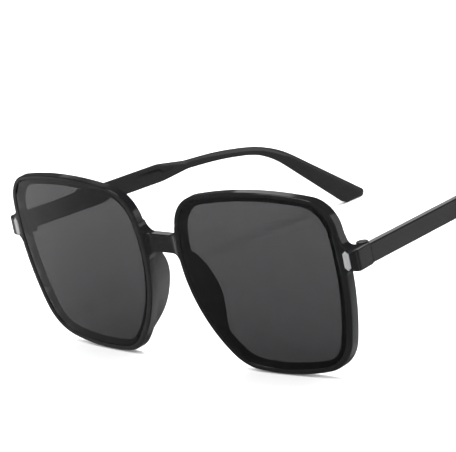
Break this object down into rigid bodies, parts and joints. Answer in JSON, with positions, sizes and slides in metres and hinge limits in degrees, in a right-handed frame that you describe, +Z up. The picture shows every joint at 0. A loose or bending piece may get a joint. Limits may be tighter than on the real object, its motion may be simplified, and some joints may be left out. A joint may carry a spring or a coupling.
{
  "type": "sunglasses",
  "caption": "Oversized square sunglasses with a glossy black plastic frame, flat grey lenses, a set-back bridge, moulded nose pads and slim folding temples with silver inlays at the hinges.",
  "frame": {"origin": "on the table under the middle of the overall box, glasses open and standing on the rims and the temple tips", "axes": "+X towards the wearer's left, -Y the way the wearer looks, +Z up"},
  "size_m": [0.149, 0.1478, 0.0567],
  "materials": {
    "black_frame": "polished moulded plastic",
    "black_temple": "polished moulded plastic",
    "grey_lens": "dark grey tinted, polished",
    "silver_inlay": "bright silver plate",
    "hinge_metal": "black plated",
    "hinge_screw": "dark plated steel"
  },
  "bodies": {
    "front": {"front_frame": "black_frame", "lens_left": "grey_lens", "lens_right": "grey_lens", "inlay_left": "silver_inlay", "inlay_right": "silver_inlay", "hinge_front_left": "hinge_metal", "hinge_front_right": "hinge_metal", "hinge_screw_left": "hinge_screw", "hinge_screw_right": "hinge_screw"},
    "temple_left": {"temple_left": "black_temple", "hinge_temple_left": "hinge_metal"},
    "temple_right": {"temple_right": "black_temple", "hinge_temple_right": "hinge_metal"}
  },
  "joints": [
    {"name": "fold_left", "type": "hinge", "parent": "front", "child": "temple_left", "pos_m": [0.07111, -0.0619, 0.0373], "axis": [0, 0, 1], "range_deg": [0, 84]},
    {"name": "fold_right", "type": "hinge", "parent": "front", "child": "temple_right", "pos_m": [-0.07111, -0.0619, 0.0373], "axis": [0, 0, -1], "range_deg": [0, 80]}
  ]
}
